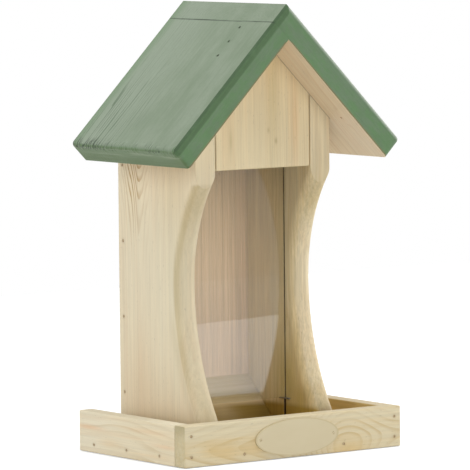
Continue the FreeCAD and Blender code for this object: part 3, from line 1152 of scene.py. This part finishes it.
def solid_from_rings(name: str, rings: np.ndarray) -> bpy.types.Object:
    """Closed piece from closed rings laid side by side, with a fan to the middle at both ends.

    Args:
        name: Object name.
        rings: Array of ring, point and coordinate, in metres, with each ring turning the same way.

    Returns:
        The new object, at the origin.
    """
    count, around = rings.shape[:2]
    points = np.concatenate([rings.reshape(-1, 3), rings[0].mean(0)[None], rings[-1].mean(0)[None]])
    index = np.arange(count * around).reshape(count, around)
    here, there = index[:-1], index[1:]
    walls = np.stack([here, np.roll(here, -1, 1), np.roll(there, -1, 1), there], -1).reshape(-1, 4)
    first, last = index[0], index[-1]
    start = np.stack([np.roll(first, -1), first, np.full(around, count * around)], -1)
    end = np.stack([last, np.roll(last, -1), np.full(around, count * around + 1)], -1)
    mesh = bpy.data.meshes.new(name)
    mesh.from_pydata(points.tolist(), [], walls.tolist() + start.tolist() + end.tolist())
    mesh.polygons.foreach_set("use_smooth", np.ones(len(mesh.polygons), bool))
    mesh.update()
    piece = bpy.data.objects.new(name, mesh)
    bpy.context.scene.collection.objects.link(piece)
    return piece


def value_noise(seed: int, shape: tuple[int, int], cells: tuple[int, int]) -> np.ndarray:
    """Smooth seeded noise: random values on a coarse lattice, joined by cosine steps.

    Args:
        seed: Start of the random numbers.
        shape: Rows and columns of the result.
        cells: Lattice cells along rows and columns.

    Returns:
        Values from 0 to 1.
    """
    lattice = np.random.default_rng(seed).random((cells[0] + 2, cells[1] + 2))
    rows = np.linspace(0.0, cells[0], shape[0])
    columns = np.linspace(0.0, cells[1], shape[1])
    row, column = rows.astype(int), columns.astype(int)
    down = (0.5 - 0.5 * np.cos(np.pi * (rows - row)))[:, None]
    right = (0.5 - 0.5 * np.cos(np.pi * (columns - column)))[None, :]
    upper = lattice[np.ix_(row, column)] * (1 - right) + lattice[np.ix_(row, column + 1)] * right
    lower = lattice[np.ix_(row + 1, column)] * (1 - right) + lattice[np.ix_(row + 1, column + 1)] * right
    return upper * (1 - down) + lower * down


@dataclass
class EaveFibres:
    """Torn end grain along the lower edge of one roof board.

    A strip follows the rounded edge and stands proud where fibres were pulled up by the saw. Its rim
    and its back lie inside the board. Lengths are in metres.

    Attributes:
        slope: Ridge to eave along the slope.
        over: Length of the strip on the weather face.
        down: Length of the strip on the end face.
        proud: Height of the tallest fibres.
        sunk: Depth of the strip's rim.
        core: Depth of the strip's back.
        rims: Shares of the strip over which it rises and falls.
        points: Points over the edge.
        rows: Rings along the eave.
    """

    side: Side
    seed: int
    ridge: float = 0.328
    slope: float = 0.144
    front: float = -0.063
    back: float = 0.067
    rounding: float = 0.003
    over: float = 0.0055
    down: float = 0.007
    proud: float = 0.00135
    sunk: float = 0.0002
    core: float = 0.0012
    rims: Pair = (0.4, 0.35)
    points: int = 28
    rows: int = 380

    def profile(self) -> tuple[np.ndarray, np.ndarray, np.ndarray]:
        """Line over the rounded edge, with its outward normals.

        The line runs straight down the weather face, turns by a quarter circle and runs down the end
        face. Slope and depth are worked out from the distance along it.

        Returns:
            Points and normals as slope and depth, and the share of the line at each point.
        """
        arc = self.rounding * math.pi / 2
        reach = self.over + arc + self.down
        run = np.linspace(0.0, reach, self.points)
        angle = np.clip((run - self.over) / self.rounding, 0.0, math.pi / 2)
        flat = np.minimum(run, self.over)
        fall = np.maximum(run - self.over - arc, 0.0)
        begin = self.slope - self.rounding - self.over
        slope = begin + flat + self.rounding * np.sin(angle)
        depth = self.rounding * (1 - np.cos(angle)) + fall
        normal = np.stack([np.sin(angle), -np.cos(angle)], -1)
        return np.stack([slope, depth], -1), normal, run / reach

    def surface(self) -> np.ndarray:
        """Rings of the strip, each a loop over the edge and back inside the board.

        The outer line stands off the edge by a window that is 0 at its rims, times fibre noise that
        changes fast along the eave and slowly along the fibres, times a slow patch noise.

        Returns:
            Array of ring, point and coordinate.
        """
        line, normal, share = self.profile()
        rise, fall = self.rims
        window = np.clip(share / rise, 0.0, 1.0) * np.clip((1.0 - share) / fall, 0.0, 1.0)
        window = window * window * (3 - 2 * window)
        coarse, fine, patch = (value_noise(self.seed + index, (self.rows, self.points), cells)
                               for index, cells in enumerate(((58, 2), (150, 4), (11, 1))))
        fibre = np.clip(0.75 * coarse + 0.45 * fine - 0.32, 0.0, 1.0) * np.clip(1.7 * patch - 0.25, 0.0, 1.0)
        stand = self.proud * fibre * window - self.sunk * (1 - window)
        outer = line[None] + normal[None] * stand[..., None]
        inner = np.broadcast_to(line[::-1] - normal[::-1] * self.core, outer.shape)
        loop = np.concatenate([outer, inner], 1)
        x = self.side.value * SLANT * (loop[..., 0] - loop[..., 1])
        z = self.ridge - SLANT * (loop[..., 0] + loop[..., 1])
        edge = 1.2 * self.rounding
        y = np.linspace(self.front + edge, self.back - edge, self.rows)[:, None] + np.zeros_like(x)
        rings = np.stack([x, y, z], -1)
        return rings if self.side is Side.RIGHT else rings[:, ::-1]

    def build(self, material: Material) -> bpy.types.Object:
        """Makes the strip, dresses it and lets it ride on the roof.

        Args:
            material: Its finish.

        Returns:
            The new piece.
        """
        piece = solid_from_rings(f"{self.side.word}_eave_fibres", self.surface())
        piece.data.materials.append(material)
        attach(piece, "roof")
        LOG.info("built %s", piece.name)
        return piece


@dataclass
class Roof:
    """Lift-off roof: two stained boards, a gable panel and their nails.

    The gable's nails have places down the slope and from front to rear, in millimetres, and the two
    slopes' nails are staggered.
    """

    gable_nails: tuple[float, ...] = (24.0, 38.0, 52.0)
    gable_nail_depth: float = -25.0
    gable_nail_stagger: float = 1.5
    ridge: float = 328.0
    gable: Timber = Timber(
        "gable_pine", Grain.UPRIGHT_FRONT, (228, 212, 175), (198, 170, 124), (222, 194, 150),
        heart=(-120.0, 20.0), spacing=2.3, rise=0.01, sway=0.9, contrast=0.2, streaks=0.3, seed=4.0,
        # The first patch is painted shade at the top, under the roof's overhang.
        patches=(Patch(300, 4, (40, 40), (210, 180, 132), 0.35),
                 Patch(262, 9, (44, 5), (204, 184, 132), 0.4),
                 Patch(240, 29, (34, 4), (222, 178, 126), 0.4),
                 # Painted light on the panel's left edge, in the narrow slit beside the left side board.
                 Patch(250, -42, (90, 6), (253, 243, 218), 1, LEFTWARD),
                 Patch(229, -29, (8, 1.6), (178, 162, 106), 0.35),
                 Patch(227.6, 11.7, (2.2, 1.2), (154, 132, 84), 0.45),
                 Patch(235.6, 4.9, (2, 1.1), (164, 142, 94), 0.35)))

    def slope_timber(self, side: Side) -> Timber:
        """Wood of one slope, with its nail places along the fibres.

        Args:
            side: Which slope.

        Returns:
            The wood.
        """
        grain = Grain.LEFT_SLOPE if side is Side.LEFT else Grain.RIGHT_SLOPE
        top = self.ridge * SLANT
        y = self.gable_nail_depth + side.value * self.gable_nail_stagger
        knots = (Knot(102 - top, -47, (8, 4), 4, core=0.9, glow=0.4),
                 Knot(62 - top, 20, (10, 5), 6, core=1.6, glow=0.4))
        return Timber(
            f"{side.word}_roof_stain", grain, (220, 204, 176), (202, 178, 144), (214, 186, 154),
            heart=(-24.0, side.value * 196.0), spacing=2.9, rise=0.015, sway=1.7,
            contrast=0.35, streaks=0.4, seed=51.0 + side.value, knots=knots,
            nails=tuple((place - top, y) for place in self.gable_nails))

    def build(self, nodes: Nodes) -> None:
        """Dresses the roof's nodes and adds the torn fibres along its eaves.

        Args:
            nodes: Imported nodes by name.
        """
        for side in Side:
            stain = RoofStain(self.slope_timber(side), side).material()
            dress(nodes, f"{side.word}_roof_board", stain)
            EaveFibres(side, seed=20 + side.value).build(stain)
        dress(nodes, "front_gable_panel", self.gable.material())
        steel = STAINED_NAIL.material()
        for name in ("gable_nails", "ridge_nails"):
            dress(nodes, name, steel)


BACK_NAILS: tuple[Pair, ...] = ((41.0, 61.0), (97.0, 61.0), (153.0, 61.0), (209.0, 61.0))
PANE_KERF = Groove(middle=2.5, half=1.2, mouth=43.0, floor=48.0)


@dataclass
class Hopper:
    """Side boards, back board, seed chute, pane and staples."""

    back: Timber = Timber(
        "back_board_pine", Grain.UPRIGHT_FRONT, (222, 202, 168), (186, 152, 108), (216, 184, 146),
        heart=(130.0, 20.0), spacing=1.9, rise=0.002, sway=0.5, contrast=0.5, streaks=0.35, seed=14.0,
        knots=(Knot(130, 26, (150, 14), 0, accent=0.35),),
        patches=(Patch(130, 0, (400, 200), (224, 190, 157), 0.6, FORWARD),
                 # Painted shade on the upper part, under the roof.
                 Patch(212, 0, (52, 200), (186, 154, 106), 0.55, FORWARD),
                 Patch(66, 0, (44, 200), (194, 168, 146), 0.5, FORWARD)), texture=2.4)
    chute: Timber = Timber(
        "chute_pine", Grain.FLOOR, (196, 176, 140), (170, 144, 104), (188, 158, 116),
        heart=(20.0, -30.0), spacing=3.6, sway=1.6, contrast=0.25, streaks=0.3, seed=17.0,
        patches=(Patch(0, 35.8, (120, 2.6), (146, 122, 64), 0.75),
                 # Painted highlight: a thin light line across the chute, like a lit edge.
                 Patch(0, 30.4, (120, 1.2), (212, 192, 150), 0.6),
                 # Painted shadow below the height of the rails' tops, with a sharp edge; the patch after it
                 # makes it lighter to the left.
                 Patch(0, 11.5, (120, 17), (138, 113, 54), 1, crisp=True),
                 Patch(-8, 12, (26, 16), (167, 143, 95), 1),
                 Patch(2, 26, (11, 8), (196, 174, 134), 0.5)), gloss=0.04)
    left: Timber = Timber(
        "left_side_pine", Grain.UPRIGHT_SIDE, (226, 214, 186), (182, 152, 106), (222, 200, 168),
        heart=(39.0, -65.0), spacing=3.3, sway=1.3, contrast=0.11, streaks=0.3, seed=21.0,
        knots=(Knot(262, 39, (58, 44), -26, accent=0.4),
               Knot(208, 47, (38, 9), 0, accent=1.3),
               Knot(96, -18, (60, 14), -3)),
        nails=BACK_NAILS, rounded=1.0, groove=PANE_KERF,
        patches=(Patch(216, 4, (26, 34), (222, 196, 164), 0.4),
                 Patch(130, 0, (120, 17), (210, 196, 162), 0.25, LEFTWARD),
                 Patch(190, -4, (28, 20), (204, 186, 146), 0.32, LEFTWARD),
                 Patch(95, -9, (11, 5), (246, 234, 206), 0.6, LEFTWARD),
                 Patch(42, 38, (46, 22), (214, 186, 148), 0.42),
                 Patch(108, 8, (60, 18), (229, 221, 194), 0.45),
                 # Painted shade low on the inner face inside the tray, then a sharp-edged painted shadow
                 # below the height of the rails' tops.
                 Patch(42, -2, (34, 14), (196, 170, 96), 0.7, RIGHTWARD),
                 Patch(12, 0, (17, 200), (166, 132, 54), 0.9, RIGHTWARD, crisp=True),
                 # Painted light in the narrow slit beside the gable panel.
                 Patch(238, -25, (44, 12), (253, 243, 218), 1, RIGHTWARD),
                 # Painted shade on the curved front edge under the tongue, where it faces down.
                 Patch(184, -24, (24, 14), (190, 171, 124), 0.3, FORWARD),
                 Patch(226, -31, (22, 10), (230, 216, 176), 0.45, FORWARD),
                 # Painted light low on the outer face, which lifts the shade there; then painted shade just
                 # above the rails' tops, and on the front edge at the foot.
                 Patch(30, 20, (14, 50), (240, 222, 190), 0.45, LEFTWARD),
                 Patch(20, -10, (9, 90), (142, 120, 76), 0.5),
                 Patch(36, -40, (34, 18), (196, 178, 133), 0.3, FORWARD)))
    right: Timber = Timber(
        "right_side_pine", Grain.UPRIGHT_SIDE, (222, 207, 174), (192, 168, 124), (212, 184, 140),
        heart=(-60.0, 90.0), spacing=2.6, rise=0.02, sway=1.4, contrast=0.5, streaks=0.35, seed=27.0,
        knots=(Knot(214, 22, (26, 8), 9, core=2.2, glow=0.4),
               Knot(70, -8, (34, 9), 8, glow=0.3)),
        nails=BACK_NAILS, rounded=0.15, groove=PANE_KERF,
        # Painted shade: on the curved front edge under the tongue, on the front edge at the foot, just above
        # the rails' tops, and darkest right above the front rail.
        patches=(Patch(184, -24, (24, 14), (186, 166, 116), 0.5, FORWARD),
                 Patch(36, -46, (22, 22), (188, 170, 122), 0.55, FORWARD),
                 Patch(20, -10, (9, 90), (150, 128, 84), 0.5),
                 Patch(20, -46, (9.5, 30), (112, 90, 46), 0.85, FORWARD),
                 Patch(120, 0, (180, 90), (218, 195, 142), 0.45, LEFTWARD),
                 Patch(160, 40, (150, 19), (242, 224, 188), 0.5, LEFTWARD),
                 # Painted shade low on the inner face inside the tray, then a sharp-edged painted shadow
                 # below the height of the rails' tops.
                 Patch(46, -2, (34, 14), (196, 170, 96), 0.75, LEFTWARD),
                 Patch(34, -18, (14, 12), (186, 158, 84), 0.75, LEFTWARD),
                 Patch(12, 0, (17, 200), (166, 137, 62), 1, LEFTWARD, crisp=True)), texture=2.2)

    def build(self, nodes: Nodes) -> None:
        """Dresses the hopper's nodes.

        Args:
            nodes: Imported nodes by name.
        """
        steel = NAIL_STEEL.material()
        wire = STAPLE_WIRE.material()
        for side, timber in ((Side.LEFT, self.left), (Side.RIGHT, self.right)):
            dress(nodes, f"{side.word}_side_board", timber.material())
            dress(nodes, f"{side.word}_back_nails", steel)
            dress(nodes, f"{side.word}_pane_staple", wire)
        dress(nodes, "back_board", self.back.material())
        dress(nodes, "seed_chute", self.chute.material())
        dress(nodes, "chute_nails", steel)
        dress(nodes, "clear_pane", ClearSheet().material())


SIDE_RAIL_NAILS: tuple[Pair, ...] = ((-35.0, 6.0), (6.5, 6.0), (48.0, 6.0))


@dataclass
class Tray:
    """Floor, rails, nails and the bare label plate."""

    floor: Timber = Timber(
        "tray_floor_pine", Grain.FLOOR, (208, 190, 150), (180, 152, 106), (202, 172, 124),
        heart=(30.0, -34.0), spacing=3.6, rise=0.03, sway=2.2, contrast=0.4, streaks=0.4, seed=33.0,
        # Painted shade on the floor under the hopper.
        patches=(Patch(0, 5, (50, 56), (168, 140, 86), 0.45),), gloss=0.1)
    front_rail: Timber = Timber(
        "front_rail_pine", Grain.RAIL_FRONT, (213, 201, 170), (188, 163, 114), (208, 180, 124),
        heart=(10.0, -60.5), spacing=5.0, rise=-0.19, sway=0.5, contrast=0.4, streaks=0.3, seed=37.0,
        knots=(Knot(45, -30, (36, 90), -42, accent=0.15),
               Knot(50, 14, (44, 12), 5),
               Knot(49, 1, (19, 8), 0, glow=0.75),
               Knot(-75, 12, (9, 6), 0, glow=0.5),
               Knot(-60, 10, (12, 8), 0, glow=0.6, accent=0.2),
               Knot(-35, 11, (12, 8), 0, glow=0.55, accent=0.2)),
        nails=((-92.0, 7.5), (-92.0, 22.5), (92.0, 7.5), (92.0, 22.5), (-45.0, 6.0), (45.0, 6.0)),
        # Painted light on the top face's left part, which the roof shades; painted shade on its right part,
        # which a lamp lights, and on the top of the left end.
        patches=(Patch(-50, 30, (70, 20), (212, 199, 167), 0.95, UPWARD),
                 Patch(90, 30, (50, 20), (196, 182, 148), 0.6, UPWARD),
                 Patch(-98, 29, (10, 7), (172, 160, 128), 0.6, LEFTWARD)), uneven=0.3)
    left_rail: Timber = Timber(
        "left_rail_pine", Grain.RAIL_SIDE, (224, 212, 184), (199, 176, 132), (216, 184, 136),
        heart=(-20.0, -140.0), spacing=4.6, rise=-0.03, sway=2.0, contrast=0.32, streaks=0.35, seed=39.0,
        knots=(Knot(10, 22, (34, 14), -5.5, accent=0.1),),
        nails=SIDE_RAIL_NAILS,
        # Painted light on the top face.
        patches=(Patch(0, 30, (300, 20), (226, 217, 192), 0.6, UPWARD),
                 Patch(52, 14, (36, 30), (228, 221, 200), 0.5, LEFTWARD),
                 Patch(54, 18.6, (18, 1.8), (222, 178, 132), 0.55, LEFTWARD),
                 Patch(28, 9, (14, 3), (222, 194, 150), 0.4, LEFTWARD),
                 Patch(-22, 22, (28, 2), (224, 190, 146), 0.4, LEFTWARD),
                 Patch(-42, 13, (16, 1.8), (226, 186, 140), 0.4, LEFTWARD)))
    right_rail: Timber = Timber(
        "right_rail_pine", Grain.RAIL_SIDE, (208, 194, 163), (184, 160, 118), (202, 172, 128),
        heart=(48.0, 60.0), spacing=3.3, rise=0.05, sway=2.4, contrast=0.4, streaks=0.45, seed=41.0,
        knots=(Knot(-20, 18, (26, 9), 9, core=2, glow=0.5),),
        nails=SIDE_RAIL_NAILS,
        # Painted shade on the inner face, inside the tray.
        patches=(Patch(0, 18, (300, 60), (198, 170, 104), 0.9, LEFTWARD),))

    def build(self, nodes: Nodes) -> None:
        """Dresses the tray's nodes.

        Args:
            nodes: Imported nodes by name.
        """
        boards = {"floor": self.floor, "front_rail": self.front_rail,
                  "left_rail": self.left_rail, "right_rail": self.right_rail}
        steel = NAIL_STEEL.material()
        for word, timber in boards.items():
            dress(nodes, f"tray_{word}", timber.material())
        for word in ("rail_corner", "front_rail", "left_rail", "right_rail", "base"):
            dress(nodes, f"{word}_nails", steel)
        dress(nodes, "label_plate", PlateFinish().material())
        dress(nodes, "label_pins", PIN_METAL.material())


@dataclass(frozen=True)
class SoftBox:
    """A large soft lamp: its middle, width and height in metres, and its power in watts."""

    name: str
    place: Place
    size: Pair
    power: float


@dataclass
class Studio:
    """White floor and surroundings, soft lamps and the camera.

    Attributes:
        focal: Focal length in image widths.
        azimuth: Camera's turn about the feeder, in degrees from the front.
        distance: Camera to target, in metres.
        ambient: Strength of the surroundings as light.
        floor_lift: White added to the floor for the eye.
        card_span: Ends of the dark card in X.
        card_line: Its Y at X = 0, and the change of Y with X.
    """

    focal: float = 4478.486 / IMAGE_SIDE
    azimuth: float = -36.2066
    elevation: float = 4.6952
    roll: float = -0.5242
    distance: float = 3.28605
    target: Place = (-0.0024945, 0.00127, 0.1575929)
    sensor: float = 36.0
    ambient: float = 0.29
    sky: Colour = (255, 255, 255)
    floor: Colour = (232, 232, 230)
    floor_lift: float = 0.4
    lift_tint: Colour = (236, 243, 252)
    floor_half: float = 1.1
    floor_drop: float = 0.0004
    card: Colour = (58, 52, 44)
    card_span: Pair = (0.1, 1.3)
    card_height: float = 0.4
    card_line: Pair = (-0.641, -0.2065)
    lamps: tuple[SoftBox, ...] = field(default_factory=lambda: (
        SoftBox("left_softbox", (-2.2, 0.2, 0.9), (1.8, 1.6), 24.0),
        SoftBox("top_softbox", (0.0, -0.3, 2.6), (2.0, 2.0), 43.0),
        SoftBox("front_softbox", (0.2, -2.6, 0.3), (1.8, 0.5), 15.0),
        SoftBox("right_softbox", (2.3, -0.4, 0.9), (1.8, 1.6), 36.0),
    ))

    def seen(self, graph: Graph) -> Value:
        """Marks the rays that the eye follows, straight, mirrored or through the pane.

        Args:
            graph: Nodes of a material or world.

        Returns:
            1 for these rays and 0 for others.
        """
        path = graph.node("ShaderNodeLightPath", {}).outputs
        straight, mirrored, through = (
            Value(graph, path[f"Is {kind} Ray"]) for kind in ("Camera", "Glossy", "Transmission"))
        return straight.most(mirrored.most(through))

    def sheet(self, name: str, corners: np.ndarray) -> bpy.types.Object:
        """Flat stage piece, from a grid of two rows of two corners.

        Args:
            name: Object name.
            corners: Array of row, column and coordinate.

        Returns:
            The new stage object.
        """
        mesh = bpy.data.meshes.new(name)
        mesh.from_pydata(corners.reshape(-1, 3).tolist(), [], [(0, 1, 3, 2)])
        piece = bpy.data.objects.new(name, mesh)
        bpy.context.scene.collection.objects.link(piece)
        piece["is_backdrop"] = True
        return piece

    def build_floor(self) -> None:
        """Pale floor that keeps a shadow and looks white in full light."""
        ends = (-self.floor_half, self.floor_half)
        u, v = np.meshgrid(ends, ends)
        floor = self.sheet("studio_floor", np.stack([u, v, np.full_like(u, -self.floor_drop)], -1))
        graph = Graph.named("studio_floor")
        pale = graph.node("ShaderNodeBsdfDiffuse", {0: linear(self.floor)})
        strength = self.seen(graph) * self.floor_lift
        lift = graph.node("ShaderNodeEmission", {0: linear(self.lift_tint), 1: strength})
        shader = graph.node("ShaderNodeAddShader", {0: pale.outputs[0], 1: lift.outputs[0]})
        floor.data.materials.append(graph.finish(shader))

    def build_card(self) -> None:
        """Dark card in front of the feeder, which only the pane mirrors."""
        u, v = np.meshgrid(self.card_span, (0.0, self.card_height))
        card = self.sheet("studio_card", np.stack([u, self.card_line[0] + self.card_line[1] * u, v], -1))
        graph = Graph.named("studio_card")
        matt = graph.node("ShaderNodeBsdfDiffuse", {0: linear(self.card)})
        card.data.materials.append(graph.finish(matt))
        card.visible_camera = False
        card.visible_diffuse = False
        card.visible_shadow = False
        card.visible_transmission = False

    def build_world(self) -> None:
        """Even surroundings: white to the eye, softer as light."""
        world = bpy.data.worlds.new("studio_world")
        graph = Graph(world)
        strength = self.seen(graph) * (1.0 - self.ambient) + self.ambient
        sky = graph.node("ShaderNodeBackground", {0: linear(self.sky), 1: strength})
        graph.node("ShaderNodeOutputWorld", {0: sky.outputs[0]})
        bpy.context.scene.world = world

    def build_lamps(self) -> None:
        """Soft lamps turned towards the feeder's middle."""
        for box in self.lamps:
            lamp = bpy.data.lights.new(box.name, "AREA")
            lamp.shape = "RECTANGLE"
            lamp.size, lamp.size_y = box.size
            lamp.energy = box.power
            stand = bpy.data.objects.new(box.name, lamp)
            stand.location = box.place
            aim = Vector(self.target) - Vector(box.place)
            stand.rotation_euler = aim.to_track_quat("-Z", "Y").to_euler()
            bpy.context.scene.collection.objects.link(stand)

    def build_camera(self) -> None:
        """Long lens at the photograph's angle."""
        turn, rise, roll = (math.radians(angle) for angle in (self.azimuth, self.elevation, self.roll))
        back = Vector((math.sin(turn) * math.cos(rise), -math.cos(turn) * math.cos(rise), math.sin(rise)))
        right = Vector((math.cos(turn), math.sin(turn), 0.0))
        up = back.cross(right)
        rolled_right = right * math.cos(roll) + up * math.sin(roll)
        rolled_up = up * math.cos(roll) - right * math.sin(roll)
        lens = bpy.data.cameras.new("camera")
        lens.sensor_width = self.sensor
        lens.lens = self.focal * self.sensor
        camera = bpy.data.objects.new("camera", lens)
        pose = Matrix((rolled_right, rolled_up, back)).transposed().to_4x4()
        pose.translation = Vector(self.target) + back * self.distance
        camera.matrix_world = pose
        bpy.context.scene.collection.objects.link(camera)
        bpy.context.scene.camera = camera

    def build(self) -> None:
        """Sets up the whole stage."""
        bpy.context.scene.view_settings.view_transform = "Standard"
        self.build_world()
        self.build_floor()
        self.build_card()
        self.build_lamps()
        self.build_camera()


def corners(box: tuple[Vector, Vector]) -> list[list[float]]:
    """Lowest and highest corner as plain lists."""
    return [[float(value) for value in corner] for corner in box]


def main() -> None:
    """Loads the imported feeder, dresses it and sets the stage."""
    logging.basicConfig(level=logging.INFO, format="%(name)s: %(message)s")
    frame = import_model()
    packed = corners(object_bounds())
    for assembly in (Roof(), Hopper(), Tray()):
        assembly.build(frame["nodes"])
    Studio().build()
    {"packed": packed, "dressed": corners(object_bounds())}


if __name__ == "__main__":
    main()
